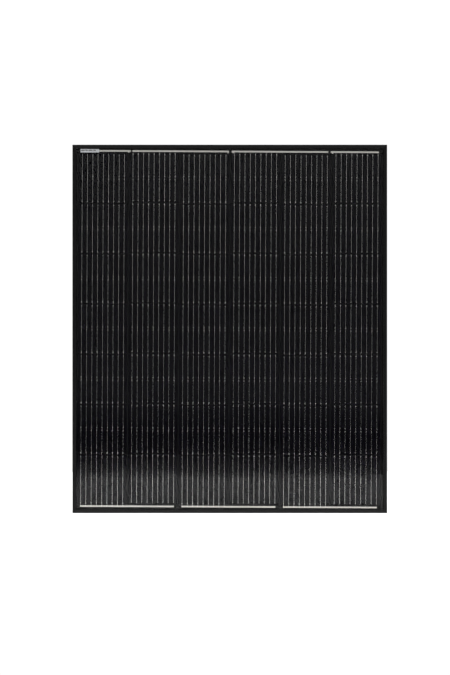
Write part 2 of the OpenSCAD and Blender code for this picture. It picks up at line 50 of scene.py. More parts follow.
PANEL_W = 1002.0
PANEL_H = 1173.0
FRAME_DEPTH = 35.0
LIP_WIDTH = 11.0
COLUMNS = 6
ROWS = 7
CELL = 158.75
COLUMN_PITCH = 161.75
ROW_PITCH = 160.25
LAYUP_SHIFT = -1.3
LAYUP_DROP = 0.6
LAYUP_SKEW = math.radians(0.3)
WIRES = 9
WIRE_PITCH = 16.8
WIRE_SET_BACK = 4.0
WIRE_FRONT = 5.75
CELL_FRONT = 6.1
CELL_BACK = 6.3
WIRE_BACK = 6.65
LAMINATE_BACK = 7.6
LAMINATE_INSET = 3.0
BUS_WIDTH = 5.0
BUS_Z = PANEL_H / 2 - 20.1
TOP_BUSES = ((1, 1, 5, 20), (2, 3, 2, 9), (4, 5, 9, 2.5), (6, 6, 17, 2))
BOTTOM_BUSES = ((1, 2), (3, 4), (5, 6))
BOTTOM_OVERHANG = 1.5
BOX_TOP = PANEL_H / 2 - 55.5
BOX_BOTTOM = BOX_TOP - 100
LID_BACK = 31.2
GLAND_DEPTH = 18.9
GLAND_X = 42.0
NECK_R = 7.5
THREAD_PITCH = 1.5
THREAD_CREST = 8.0
THREAD_START = 2.8
THREAD_END = 13.4
RATING_Z = BOX_BOTTOM - 130

# Solder pads on each wire of a cell: distance from the cell's middle towards the end where the wire
# starts, length and width. The widest is where the wire leaves the cell.
PADS = ((CELL / 2 - 7.2, 3.6, 1.1), (4.7, 4.6, 1.1), (-4.7, 4.6, 1.1), (3.8 - CELL / 2, 4.8, 1.4))

# ---- Finishes ----

# Both faces of the glass mirror 1.4% straight ahead, as one surface of index 1.27 does
BONDED_IOR = 1.27
FACE_IOR = 1.18
FACE_MIRROR = 0.008
GLASS_ROUGHNESS = 0.07
GLASS_UNEVEN = 0.01
CELL_DARK = (0.002, 0.0018, 0.0034)
CELL_LIGHT = (0.0028, 0.0025, 0.0048)
CELL_SEED = 1.7
FINGER_PITCH = 1.5
FINGER_WIDTH = 0.05
FINGER_COLOUR = (0.008, 0.008, 0.009)
LEATHER_CELLS_PER_METRE = 1400.0
ALONG_Z = (1, 1, 0.02)
ALONG_X = (0.02, 1, 1)

# ---- Studio, in metres ----

CAMERA_DISTANCE = 4.0
CAMERA_X = -0.0152
CAMERA_Z = -0.0273
VIEW_HEIGHT = 2.1490
SENSOR = 36.0

FLOOR_FRONT = -1.22
FLOOR_REAR = 1.2
FLOOR_HALF_WIDTH = 0.9
# Painted light: the floor glows though it is no lamp. Its glow where it is brightest, under the module
# (lower there as painted shade of the module), at its front edge, and at least
FLOOR_GLOW = 1.65
FLOOR_GLOW_PAINTED_SHADE = 0.8
FLOOR_GLOW_EDGE = 0.45
FLOOR_GLOW_LEAST = 0.55

# Grey that shiny surfaces see behind the camera and elsewhere, by the sine of the elevation. Set to
# give the bands of light and dark that lie on the glass.
ROOM = (
    (-0.3, 1.6), (-0.112, 1.5), (-0.106, 0.75), (-0.1, 0.34), (-0.094, 0.1), (-0.086, 0.02), (-0.07, 0.03),
    (-0.063, 0.18), (-0.057, 0.3), (-0.05, 0.4), (0.03, 0.35), (0.055, 0.4), (0.1, 0.48), (0.143, 0.68),
    (0.6, 0.9))
SIDES = (
    (-0.3, 0.45), (-0.17, 0.9), (-0.125, 2.2), (-0.107, 1.7), (-0.1, 0.7), (-0.092, 0.34), (-0.07, 0.33),
    (-0.045, 0.5), (0.0, 0.64), (0.05, 0.79), (0.1, 0.94), (0.14, 1.05), (0.6, 1.05))
# Brightness of the world as fill light, and as the camera sees it
FILL = 0.35
WHITE = 1.05


def y_at(depth):
    """Y in metres of a depth measured back from the frame's front face."""
    return (depth - FRAME_DEPTH) * MM


def laid(x, depth, z):
    """A point of the cell layup, which is turned slightly and sits a little low in the frame."""
    c, s = math.cos(LAYUP_SKEW), math.sin(LAYUP_SKEW)
    return Vector(((x * c + z * s) * MM, y_at(depth), (z * c - x * s - LAYUP_DROP) * MM))


def column_x(column):
    return (column - (COLUMNS + 1) / 2) * COLUMN_PITCH + LAYUP_SHIFT


def row_z(row):
    return ((ROWS + 1) / 2 - row) * ROW_PITCH


def wire_x(column, wire):
    return column_x(column) + (wire - (WIRES + 1) / 2) * WIRE_PITCH


# ---- Material graphs ----

class Graph:
    """The node tree of a new material, or of the world, with a short way to add and join nodes."""

    def __init__(self, name, world=None):
        self.material = world or bpy.data.materials.new(name)
        self.material.use_nodes = True
        self.tree = self.material.node_tree
        self.tree.nodes.clear()
        self.out = self.add("OutputWorld" if world else "OutputMaterial")

    def add(self, kind, inputs=None, **settings):
        n = self.tree.nodes.new("ShaderNode" + kind)
        for key, value in settings.items():
            setattr(n, key, value)
        for key, value in (inputs or {}).items():
            self.join(value, n.inputs[key])
        return n

    def join(self, value, socket):
        if isinstance(value, bpy.types.Node):
            value = value.outputs[0]
        if isinstance(value, bpy.types.NodeSocket):
            self.tree.links.new(value, socket)
        else:
            socket.default_value = value

    def point(self, scale=(1, 1, 1)):
        """Position in the model's frame, in metres, stretched by scale."""
        coordinates = self.add("TexCoord").outputs["Object"]
        return self.add("Mapping", {"Vector": coordinates, "Scale": scale}).outputs[0]

    def noise(self, size, detail=2.0, rough=0.5, stretch=(1, 1, 1)):
        """Noise from 0 to 1 whose features are about size metres across."""
        n = self.add("TexNoise", {
            "Vector": self.point(stretch), "Scale": 1 / size, "Detail": detail, "Roughness": rough})
        return n.outputs["Fac"]

    def math(self, operation, a, b=0.0, clamp=False):
        return self.add("Math", {0: a, 1: b}, operation=operation, use_clamp=clamp).outputs[0]

    def spread(self, value, low, high):
        """Maps 0..1 to low..high."""
        return self.add("MapRange", {"Value": value, "To Min": low, "To Max": high}).outputs[0]

    def smooth(self, value, start, end):
        """Rises smoothly from 0 to 1 as value goes from start to end."""
        n = self.add("MapRange", {"Value": value, "From Min": start, "From Max": end},
                     interpolation_type="SMOOTHSTEP")
        return n.outputs[0]

    def ramp(self, value, stops):
        """Grey that follows the (value, grey) stops."""
        low, high = stops[0][0], stops[-1][0]
        place = self.add("MapRange", {"Value": value, "From Min": low, "From Max": high}).outputs[0]
        n = self.add("ValToRGB", {"Fac": place})
        elements = n.color_ramp.elements
        while len(elements) < len(stops):
            elements.new(0.5)
        for element, (at, grey) in zip(elements, stops):
            element.position = (at - low) / (high - low)
            element.color = colour_of(grey)
        return n.outputs[0]

    def mix(self, factor, a, b):
        n = self.add("Mix", data_type="RGBA")
        for socket, value in ((n.inputs["Factor"], factor), (n.inputs[6], a), (n.inputs[7], b)):
            if isinstance(value, (tuple, int, float)) and socket.name != "Factor":
                value = colour_of(value)
            self.join(value, socket)
        return n.outputs[2]

    def bump(self, height, distance, strength=1.0):
        return self.add("Bump", {"Height": height, "Distance": distance, "Strength": strength}).outputs[0]

    def principled(self, colour, roughness, **more):
        inputs = {"Base Color": colour_of(colour) if isinstance(colour, (tuple, float)) else colour,
                  "Roughness": roughness}
        names = {"metallic": "Metallic", "specular": "Specular IOR Level", "normal": "Normal",
                 "ior": "IOR", "emission": "Emission Color", "glow": "Emission Strength"}
        for key, value in more.items():
            inputs[names[key]] = value
        shader = self.add("BsdfPrincipled", inputs)
        self.join(shader.outputs[0], self.out.inputs["Surface"])
        return self.material


def colour_of(value):
    if isinstance(value, (int, float)):
        return (value, value, value, 1.0)
    return tuple(value) + (1.0,) if len(value) == 3 else tuple(value)


# ---- Materials ----

def anodised(name, grain, specular):
    """Black anodised extrusion, with fine die lines that run along the rail."""
    g = Graph(name)
    lines = g.noise(0.0004, 3, 0.6, grain)
    cloud = g.noise(0.06, 3)
    colour = g.mix(cloud, (0.0014, 0.0014, 0.0014), (0.0028, 0.0028, 0.0028))
    uneven = g.math("ADD", g.math("MULTIPLY", lines, 0.6), g.math("MULTIPLY", cloud, 0.4))
    return g.principled(colour, g.spread(uneven, 0.26, 0.4),
                        normal=g.bump(lines, 0.00002, 0.5), specular=specular)


def mill_aluminium():
    g = Graph("mill_aluminium")
    lines = g.noise(0.0005, 3, 0.6, (1, 1, 0.04))
    return g.principled(g.mix(lines, 0.45, 0.65), g.spread(lines, 0.3, 0.5), metallic=1.0,
                        normal=g.bump(lines, 0.00003, 0.4))


def silicone(name, low, high):
    g = Graph(name)
    swell = g.noise(0.012, 3)
    return g.principled(g.mix(swell, low, high), g.spread(swell, 0.38, 0.55),
                        normal=g.bump(swell, 0.0006, 0.5))


def glassy(g, value):
    """The slightly uneven roughness of the glass, and of what is bonded to it."""
    return g.spread(value, GLASS_ROUGHNESS - GLASS_UNEVEN, GLASS_ROUGHNESS + GLASS_UNEVEN)


def solar_glass():
    """Low-iron glass with an etched antireflective front.

    It is bonded to what lies behind it, so the mirror image that the eye gets from straight ahead is in
    those surfaces' own gloss, and the glass adds only what grows towards a grazing view.
    """
    g = Graph("solar_glass")
    etch = g.noise(0.2, 2)
    clear = g.add("BsdfTransparent", {"Color": (0.99, 0.993, 0.993, 1)})
    mirror = g.add("BsdfGlossy", {"Color": (1, 1, 1, 1), "Roughness": glassy(g, etch)})
    fresnel = g.add("Fresnel", {"IOR": FACE_IOR})
    grazing = g.math("SUBTRACT", fresnel, FACE_MIRROR, clamp=True)
    mixed = g.add("MixShader", {0: grazing, 1: clear, 2: mirror})
    g.join(mixed, g.out.inputs["Surface"])
    return g.material


def clear_film():
    """Clear encapsulant, very slightly uneven in how much it passes."""
    g = Graph("clear_film")
    haze = g.noise(0.08, 2)
    clear = g.add("BsdfTransparent", {"Color": g.mix(haze, (0.985, 0.985, 0.98), (0.995, 0.995, 0.99))})
    g.join(clear, g.out.inputs["Surface"])
    return g.material


def layup_place(g):
    """X and Z along and across the cell layup, in metres, without its turn and drop."""
    x, _, z = g.add("SeparateXYZ", {0: g.point()}).outputs
    c, s = math.cos(LAYUP_SKEW), math.sin(LAYUP_SKEW)
    flat_x = g.math("SUBTRACT", g.math("MULTIPLY", x, c), g.math("MULTIPLY", z, s))
    up = g.math("ADD", z, LAYUP_DROP * MM)
    return flat_x, g.math("ADD", g.math("MULTIPLY", up, c), g.math("MULTIPLY", x, s))


def silicon():
    """Blue-black cell with printed fingers across it. Each cell differs slightly from the next."""
    g = Graph("silicon")
    flat_x, flat_z = layup_place(g)

    def cell_number(value, pitch, shift):
        """Which column or row of cells a point is in."""
        return g.math("FLOOR", g.math("DIVIDE", g.math("ADD", value, shift * MM), pitch * MM))

    number = g.add("CombineXYZ", {
        0: cell_number(flat_x, COLUMN_PITCH, -LAYUP_SHIFT + COLUMNS / 2 * COLUMN_PITCH),
        1: cell_number(flat_z, ROW_PITCH, ROWS / 2 * ROW_PITCH), 2: CELL_SEED})
    per_cell = g.add("TexWhiteNoise", {"Vector": number}).outputs["Value"]
    cloud = g.noise(0.05, 3)
    blend = g.math("ADD", g.math("MULTIPLY", per_cell, 0.7), g.math("MULTIPLY", cloud, 0.3))
    blue = g.mix(blend, CELL_DARK, CELL_LIGHT)
    # Fingers: thin lines across the cell
    phase = g.math("FRACT", g.math("DIVIDE", flat_z, FINGER_PITCH * MM))
    line = g.math("LESS_THAN", phase, FINGER_WIDTH / FINGER_PITCH)
    colour = g.mix(line, blue, FINGER_COLOUR)
    return g.principled(colour, glassy(g, cloud), ior=BONDED_IOR)


def tinned(name, dull, bright, low_rough, high_rough, size, wave=0.05, metallic=1.0):
    """Tinned copper: solder-coated, unevenly dull, with ripples whose height is wave times their size."""
    g = Graph(name)
    ripple = g.noise(size, 3, 0.6)
    tarnish = g.noise(size * 14, 2)
    return g.principled(g.mix(tarnish, dull, bright), g.spread(ripple, low_rough, high_rough),
                        metallic=metallic, normal=g.bump(ripple, size * wave, 0.6))


def backsheet_film():
    """Black backsheet with a fine leathery grain. The cells and wires under it show as a faint relief."""
    g = Graph("backsheet")
    leather = g.add("TexVoronoi", {"Vector": g.point(), "Scale": LEATHER_CELLS_PER_METRE},
                    feature="DISTANCE_TO_EDGE").outputs[0]
    cloud = g.noise(0.12, 3)
    flat_x, flat_z = layup_place(g)

    def from_middle(value, pitch, count, shift=0.0):
        """Distance in mm from the middle of the nearest of count places, each a pitch apart."""
        along = g.math("ADD", g.math("MULTIPLY", value, 1 / MM), count * pitch / 2 - shift)
        part = g.math("FRACT", g.math("DIVIDE", along, pitch))
        return g.math("MULTIPLY", g.math("ABSOLUTE", g.math("SUBTRACT", part, 0.5)), pitch)

    def under(value, edge, soft):
        """1 where value is below edge and 0 above it, with a soft step."""
        return g.smooth(value, edge + soft, edge - soft)

    in_column = from_middle(flat_x, COLUMN_PITCH, COLUMNS, LAYUP_SHIFT)
    in_row = from_middle(flat_z, ROW_PITCH, ROWS)
    cells = g.math("MULTIPLY", under(in_column, CELL / 2 - 1, 2.0), under(in_row, CELL / 2 - 1, 2.0))
    # Distance from the nearest wire, counted from the middle wire of a cell
    part = g.math("FRACT", g.math("ADD", g.math("DIVIDE", in_column, WIRE_PITCH), 0.5))
    from_wire = g.math("MULTIPLY", g.math("ABSOLUTE", g.math("SUBTRACT", part, 0.5)), WIRE_PITCH)
    wires = g.math("ADD", g.math("MULTIPLY", under(from_wire, 0.9, 0.8), 0.4), 1.0)
    laid_up = g.math("MULTIPLY", under(g.math("ABSOLUTE", flat_x), COLUMNS * COLUMN_PITCH / 2 * MM, MM),
                     under(g.math("ABSOLUTE", flat_z), ROWS * ROW_PITCH / 2 * MM, MM))
    relief = g.math("MULTIPLY", g.math("MULTIPLY", cells, wires), laid_up)
    grain = g.bump(leather, 0.00006, 0.35)
    telegraphed = g.add("Bump", {"Height": relief, "Distance": 0.0003, "Strength": 1.0, "Normal": grain})
    return g.principled(g.mix(cloud, (0.010, 0.010, 0.0105), (0.015, 0.015, 0.0155)),
                        g.spread(cloud, 0.36, 0.46), normal=telegraphed, specular=0.35)


def bonded_film():
    """Black film between the cells, bonded to the back of the glass."""
    g = Graph("bonded_film")
    cloud = g.noise(0.12, 3)
    return g.principled(g.mix(cloud, 0.0068, 0.009), glassy(g, cloud), ior=BONDED_IOR)


def printed_label(name, paper, ink, bars, fine=0.002):
    """Sticker with plain bars. Each bar is (x from, x to, z from, z to) in metres."""
    g = Graph(name)
    xyz = g.add("SeparateXYZ", {0: g.point()})
    cloud = g.noise(fine, 2)
    inked = 0.0
    for x0, x1, z0, z1 in bars:
        inside = 1.0
        for value, low, high in ((xyz.outputs[0], x0, x1), (xyz.outputs[2], z0, z1)):
            inside = g.math("MULTIPLY", inside, g.math("GREATER_THAN", value, low))
            inside = g.math("MULTIPLY", inside, g.math("LESS_THAN", value, high))
        inked = g.math("ADD", inked, inside, clamp=True)
    colour = g.mix(inked, g.mix(cloud, paper[0], paper[1]), ink)
    return g.principled(colour, g.spread(cloud, 0.3, 0.42), specular=0.4)


def moulded(name, low, high, roughness=0.5, fine=0.0006):
    """Moulded plastic with a fine spark-eroded texture."""
    g = Graph(name)
    grain = g.noise(fine, 2, 0.6)
    cloud = g.noise(0.03, 2)
    return g.principled(g.mix(cloud, low, high), g.spread(cloud, roughness - 0.06, roughness + 0.08),
                        normal=g.bump(grain, fine * 0.1, 0.5), specular=0.45)


def metal(name, low, high, low_rough, high_rough, size=0.002, stretch=(1, 1, 1)):
    g = Graph(name)
    brushed = g.noise(size, 3, 0.6, stretch)
    return g.principled(g.mix(brushed, low, high), g.spread(brushed, low_rough, high_rough),
                        metallic=1.0, normal=g.bump(brushed, size * 0.02, 0.5))


def diode_epoxy():
    """Black body with a pale band near one end of each diode."""
    first_diode, half_pitch = 0.0395, 0.013
    band_start, band_end = 0.0028, 0.0042
    g = Graph("diode_epoxy")
    x = g.add("SeparateXYZ", {0: g.point()}).outputs[0]
    place = g.math("PINGPONG", g.math("ADD", x, first_diode), half_pitch)
    band = g.math("MULTIPLY", g.math("GREATER_THAN", place, band_start),
                  g.math("LESS_THAN", place, band_end))
    body = g.noise(0.001, 2)
    return g.principled(g.mix(band, g.mix(body, 0.012, 0.02), 0.55), 0.4)


def front_label_bars():
    """Four plain bars in a row on the sticker over the first top ribbon."""
    left = wire_x(1, 1) - 6
    middle, half_height = BUS_Z + 3.1, 1.3
    return [((left + a) * MM, (left + b) * MM, (middle - half_height) * MM, (middle + half_height) * MM)
            for a, b in ((5, 17), (19, 26), (29, 41), (44, 52))]


def rating_label_bars():
    """Bars of the label on the back: a heading, two columns of lines, and two rules.

    It is read from behind, where X runs to the left, so each line starts at its high end of X.
    """
    first_line, line_pitch, line_height = 15.5, 5.5, 2.2
    bars = [(-2, 52, 24, 32), (-55, 55, -31.5, -31.0), (-55, 55, 20.5, 21.0)]
    for start, lengths in ((52, (46, 40, 50, 36, 46, 42, 48, 30)), (-14, (16, 22, 14, 20, 18, 22))):
        for i, length in enumerate(lengths):
            low = first_line - line_pitch * i
            bars.append((start - length, start, low, low + line_height))
    return [(x0 * MM, x1 * MM, (RATING_Z + z0) * MM, (RATING_Z + z1) * MM) for x0, x1, z0, z1 in bars]


MATERIALS = {
    "rail_z": anodised("black_anodised_upright", ALONG_Z, 0.13),
    "rail_x": anodised("black_anodised_level", ALONG_X, 0.2),
    "key": mill_aluminium(),
    "sealant": silicone("edge_silicone", 0.008, 0.014),
    "glass": solar_glass(),
    "film": clear_film(),
    "silicon": silicon(),
    "wire": tinned("tinned_wire", (0.9, 0.89, 0.87), (0.96, 0.95, 0.93), 0.08, 0.11, 0.0012, 0.004),
    "ribbon": tinned("tinned_ribbon", (0.54, 0.52, 0.495), (0.645, 0.62, 0.59), 0.42, 0.55, 0.003),
    "pad": tinned("solder_pad", (0.72, 0.71, 0.69), (0.84, 0.83, 0.81), 0.5, 0.62, 0.001, 0.02, 0.4),
    "front_film": bonded_film(),
    "backsheet": backsheet_film(),
    "front_label": printed_label("front_label_print", ((0.8, 0.81, 0.85), (0.88, 0.89, 0.92)), 0.09,
                                 front_label_bars()),
    "rating_label": printed_label("rating_label_print", (0.62, 0.68), 0.09, rating_label_bars()),
    "box_silicone": silicone("box_silicone", 0.5, 0.62),
    "box_plastic": moulded("box_plastic", (0.011, 0.011, 0.0115), (0.016, 0.016, 0.0165)),
    "gland_plastic": moulded("gland_plastic", (0.012, 0.012, 0.0125), (0.017, 0.017, 0.0175), 0.42, 0.0005),
    "grey_plastic": moulded("grey_plastic", 0.12, 0.16, 0.45),
    "rubber": silicone("seal_rubber", 0.018, 0.03),
    "copper": metal("tinned_copper", (0.36, 0.25, 0.17), (0.5, 0.37, 0.27), 0.28, 0.42, 0.0015,
                    (1, 1, 0.1)),
    "steel": metal("plated_steel", 0.55, 0.7, 0.25, 0.4, 0.0008),
    "diode": diode_epoxy(),
}


# ---- Mesh helpers ----

def new_piece(name, vertices, faces, material, body="module", smooth=True):
    """A new mesh piece in the model's frame, riding on a CAD body."""
    mesh = bpy.data.meshes.new(name)
    mesh.from_pydata([tuple(v) for v in vertices], [], faces)
    mesh.validate()
    mesh.materials.append(MATERIALS[material])
    mesh.polygons.foreach_set("use_smooth", [smooth] * len(mesh.polygons))
    piece = bpy.data.objects.new(name, mesh)
    bpy.context.scene.collection.objects.link(piece)
    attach(piece, body)
    return piece


def ring_faces(rings, sides, first=0, capped=True):
    """Faces of a closed tube of rings with the given number of sides, starting at vertex first."""
    faces = []
    for i in range(rings - 1):
        a, b = first + i * sides, first + (i + 1) * sides
        faces += [(a + k, a + (k + 1) % sides, b + (k + 1) % sides, b + k) for k in range(sides)]
    if capped:
        faces.append(tuple(first + k for k in reversed(range(sides))))
        faces.append(tuple(first + (rings - 1) * sides + k for k in range(sides)))
    return faces


def bevel(piece, width, segments=2, angle=35):
    """Rounds a piece's sharp edges, by width in millimetres."""
    m = piece.modifiers.new("rounded_edges", "BEVEL")
    m.width = width * MM
    m.segments = segments
    m.limit_method = "ANGLE"
    m.angle_limit = math.radians(angle)
    m.use_clamp_overlap = True
    m.harden_normals = True
    return piece


def paint(node, material):
    """Gives a carried-over CAD node its material."""
    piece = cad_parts[node]
    for i in range(max(1, len(piece.material_slots))):
        if i < len(piece.material_slots):
            piece.material_slots[i].link = "OBJECT"
            piece.material_slots[i].material = MATERIALS[material]
        else:
            piece.data.materials.append(MATERIALS[material])
    return piece


# ---- Frame ----

def dress_frame():
    for side in ("left", "right"):
        bevel(paint(f"frame_{side}_rail", "rail_z"), 0.35)
    for end in ("top", "bottom"):
        bevel(paint(f"frame_{end}_rail", "rail_x"), 0.35)
        for side in ("left", "right"):
            paint(f"corner_key_{end}_{side}", "key")
    paint("edge_sealant", "sealant")


def silicone_bead():
    """Squeezed-out silicone in the corner between the backsheet and the rails' shelf, all round."""
    half_w, half_h = PANEL_W / 2 - LIP_WIDTH, PANEL_H / 2 - LIP_WIDTH
    step = 6.0
    across = 7
    corner = 4.0
    path = []
    for sx, sz, along_x in ((1, 1, False), (-1, 1, True), (-1, -1, False), (1, -1, True)):
        if along_x:
            count = int(2 * (half_w - corner) / step)
            for i in range(count + 1):
                x = (half_w - corner) * (1 - 2 * i / count) * (1 if sz > 0 else -1)
                path.append((x, half_h * sz, 0, -sz))
        else:
            count = int(2 * (half_h - corner) / step)
            for i in range(count + 1):
                z = (half_h - corner) * (2 * i / count - 1) * sx
                path.append((half_w * sx, z, -sx, 0))
    vertices, faces = [], []
    for x, z, in_x, in_z in path:
        reach = 2.3 + rng.uniform(-0.35, 0.45)
        rise = 1.5 + rng.uniform(-0.2, 0.3)
        for k in range(across):
            t = k / (across - 1)
            out = reach * math.sin(t * math.pi / 2)
            up = rise * math.cos(t * math.pi / 2) ** 1.2
            vertices.append(Vector((
                (x + in_x * out) * MM, y_at(LAMINATE_BACK + up), (z + in_z * out) * MM)))
        vertices.append(Vector((x * MM, y_at(LAMINATE_BACK - 0.02), z * MM)))
    sides = across + 1
    n = len(path)
    for i in range(n):
        a, b = i * sides, ((i + 1) % n) * sides
        faces += [(a + k, a + (k + 1) % sides, b + (k + 1) % sides, b + k) for k in range(sides)]
    return new_piece("silicone_bead", vertices, faces, "sealant")


# ---- Laminate ----

def dress_laminate():
    paint("front_glass", "glass")
    for column in range(1, COLUMNS + 1):
        paint(f"cell_string_{column}", "silicon")
    paint("lead_insulation", "front_film")
    paint("rear_encapsulant", "front_film")
    paint("backsheet", "backsheet")
    paint("front_label", "front_label")
    paint("rating_label", "rating_label")
    for i in range(1, 5):
        paint(f"lead_out_ribbon_{i}", "ribbon")


def encapsulant_film():
    """Clear film behind the glass: one sheet, because the glass and the film meet with no gap."""
    clear_of_wires = 0.12
    half_w, half_h = PANEL_W / 2 - LAMINATE_INSET, PANEL_H / 2 - LAMINATE_INSET
    y = y_at(WIRE_FRONT - clear_of_wires)
    corners = [Vector((sx * half_w * MM, y, sz * half_h * MM))
               for sx, sz in ((-1, -1), (1, -1), (1, 1), (-1, 1))]
    film = new_piece("clear_encapsulant", corners, [(0, 1, 2, 3)], "film", smooth=False)
    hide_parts("front_encapsulant")


def wire_points(column, wire):
    """The (depth, z) lines of one wire position down a string, for a string that runs downward."""
    front = (WIRE_FRONT + CELL_FRONT) / 2
    back = (CELL_BACK + WIRE_BACK) / 2
    half = CELL / 2
    end_ring = 0.3
    bus_far = BUS_Z + BUS_WIDTH / 2 - 0.3

    def down_front(start, stop, count=8):
        """Points along the front of a cell, with an extra one just inside each end for even shading."""
        between = [start + (stop - start) * i / count for i in range(1, count)]
        return [(front, z) for z in [start, start - end_ring] + between + [stop + end_ring, stop]]

    lines = []
    for row in range(1, ROWS):
        above_bottom, below_top = row_z(row) - half, row_z(row + 1) + half
        line = down_front(row_z(row) + half - WIRE_SET_BACK, above_bottom + 0.2)
        for i in range(1, 6):
            t = i / 6
            ease = t * t * (3 - 2 * t)
            line.append((front + (back - front) * ease, above_bottom + (below_top - above_bottom) * t))
        line += [(back, below_top - 0.2), (back, row_z(row + 1) - half + WIRE_SET_BACK)]
        lines.append(line)
    lines.append(down_front(row_z(ROWS) + half - WIRE_SET_BACK, -bus_far, 9))
    lines.append([(back, bus_far), (back, row_z(1) - half + WIRE_SET_BACK)])
    return lines


def string_wires(column):
    """Slightly flattened round wires of one string, each bending through the gap between two cells."""
    sides = 8
    half_width, half_depth = 0.25, 0.175
    up = 1 if column % 2 else -1
    vertices, faces = [], []
    for wire in range(1, WIRES + 1):
        shift = rng.uniform(-0.1, 0.1)
        for line in wire_points(column, wire):
            swing, turn = rng.uniform(0.01, 0.03), rng.uniform(0, 6.3)
            first = len(vertices)
            for depth, z in line:
                x = wire_x(column, wire) + shift + swing * math.sin(z / 31 + turn)
                for k in range(sides):
                    a = 2 * math.pi * (k + 0.5) / sides
                    vertices.append(laid(
                        x + half_width * math.cos(a), depth + half_depth * math.sin(a), z * up))
            rings = ring_faces(len(line), sides, first)
            faces += [tuple(reversed(f)) for f in rings] if up > 0 else rings
    piece = new_piece(f"wires_{column}", vertices, faces, "wire")
    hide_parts(f"string_wires_{column}")


def solder_mound(vertices, faces, x, z, half_w, half_h, base, top):
    """Low mound of solder, eight-sided, standing forward from depth base to depth top."""
    sides, stretch = 8, 1.05
    first = len(vertices)
    levels = ((base, 1.0), ((base + 2 * top) / 3, 0.82), (top, 0.45))
    for depth, share in levels:
        for k in range(sides):
            a = 2 * math.pi * (k + 0.5) / sides
            vertices.append(laid(x + half_w * share * math.cos(a) * stretch, depth,
                                 z + half_h * share * math.sin(a) * stretch))
    for ring in range(len(levels) - 1):
        a, b = first + ring * sides, first + (ring + 1) * sides
        faces += [(a + k, a + (k + 1) % sides, b + (k + 1) % sides, b + k) for k in range(sides)]
    faces.append(tuple(first + (len(levels) - 1) * sides + k for k in range(sides)))
    faces.append(tuple(first + k for k in reversed(range(sides))))


def solder_pads(column):
    """Soldered pads of one string's cells: near both edges of each cell and on both sides of its middle."""
    vertices, faces = [], []
    up = 1 if column % 2 else -1
    for row in range(1, ROWS + 1):
        for wire in range(1, WIRES + 1):
            for place, length, width in PADS:
                solder_mound(vertices, faces, wire_x(column, wire) + rng.uniform(-0.08, 0.08),
                             row_z(row) + (place + rng.uniform(-0.3, 0.3)) * up,
                             width / 2 * rng.uniform(0.85, 1.15), length / 2 * rng.uniform(0.85, 1.15),
                             CELL_FRONT - 0.005, CELL_FRONT - 0.12)
    new_piece(f"solder_pads_{column}", vertices, faces, "pad")


def bus_ribbon(name, node, x0, x1, z, columns):
    """Flat ribbon with rounded edges, slightly wavy, with a solder joint at each wire."""
    half = BUS_WIDTH / 2
    step = 4.0
    count = max(2, int((x1 - x0) / step))
    turn = rng.uniform(0, 6)
    edge, thick_half = 0.12, 0.085
    profile = [(-half, 0.0), (-half + edge, thick_half), (half - edge, thick_half), (half, 0.0),
               (half - edge, -thick_half), (-half + edge, -thick_half)]
    middle = (CELL_FRONT + CELL_BACK) / 2
    vertices, faces = [], []
    for i in range(count + 1):
        x = x0 + (x1 - x0) * i / count
        drift = 0.05 * math.sin(x / 37 + turn) + 0.03 * math.sin(x / 11 + turn * 2)
        for across, thick in profile:
            tilt = 0.02 * math.sin(x / 23 + turn) * across / half
            vertices.append(laid(x, middle + thick + tilt, z + across + drift))
    sides = len(profile)
    faces += ring_faces(count + 1, sides)
    for column in columns:
        for wire in range(1, WIRES + 1):
            x = wire_x(column, wire)
            if x0 < x < x1:
                solder_mound(vertices, faces, x, z, 1.5 * rng.uniform(0.8, 1.2), 2.2,
                             CELL_FRONT + 0.01, CELL_FRONT - 0.15)
    piece = new_piece(name, vertices, faces, "ribbon", smooth=False)
    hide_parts(node)


def bus_ribbons():
    for i, (first, last, left, right) in enumerate(TOP_BUSES, 1):
        bus_ribbon(f"top_ribbon_{i}", f"top_bus_ribbon_{i}", wire_x(first, 1) - left,
                   wire_x(last, WIRES) + right, BUS_Z, range(first, last + 1))
    for i, (first, last) in enumerate(BOTTOM_BUSES, 1):
        bus_ribbon(f"bottom_ribbon_{i}", f"bottom_bus_ribbon_{i}", wire_x(first, 1) - BOTTOM_OVERHANG,
                   wire_x(last, WIRES) + BOTTOM_OVERHANG, -BUS_Z, range(first, last + 1))


# ---- Junction box ----

def dress_box():
    paint("box_adhesive", "box_silicone")
    bevel(paint("box_base", "box_plastic"), 0.5)
    bevel(paint("box_lid", "box_plastic"), 0.5)
    paint("lid_seal", "rubber")
    bevel(paint("breather", "gland_plastic"), 0.4)
    for i in range(1, 5):
        bevel(paint(f"terminal_{i}", "copper"), 0.2)
    bevel(paint("clamp_screws", "steel"), 0.15)
    for i in range(1, 4):
        paint(f"bypass_diode_{i}", "diode")
    for side in ("left", "right"):
        bevel(paint(f"gland_body_{side}", "gland_plastic"), 0.3)
        paint(f"gland_seal_{side}", "rubber")
        bevel(paint(f"slip_ring_{side}", "grey_plastic"), 0.2)
        bevel(paint(f"cap_nut_{side}", "gland_plastic"), 0.35)


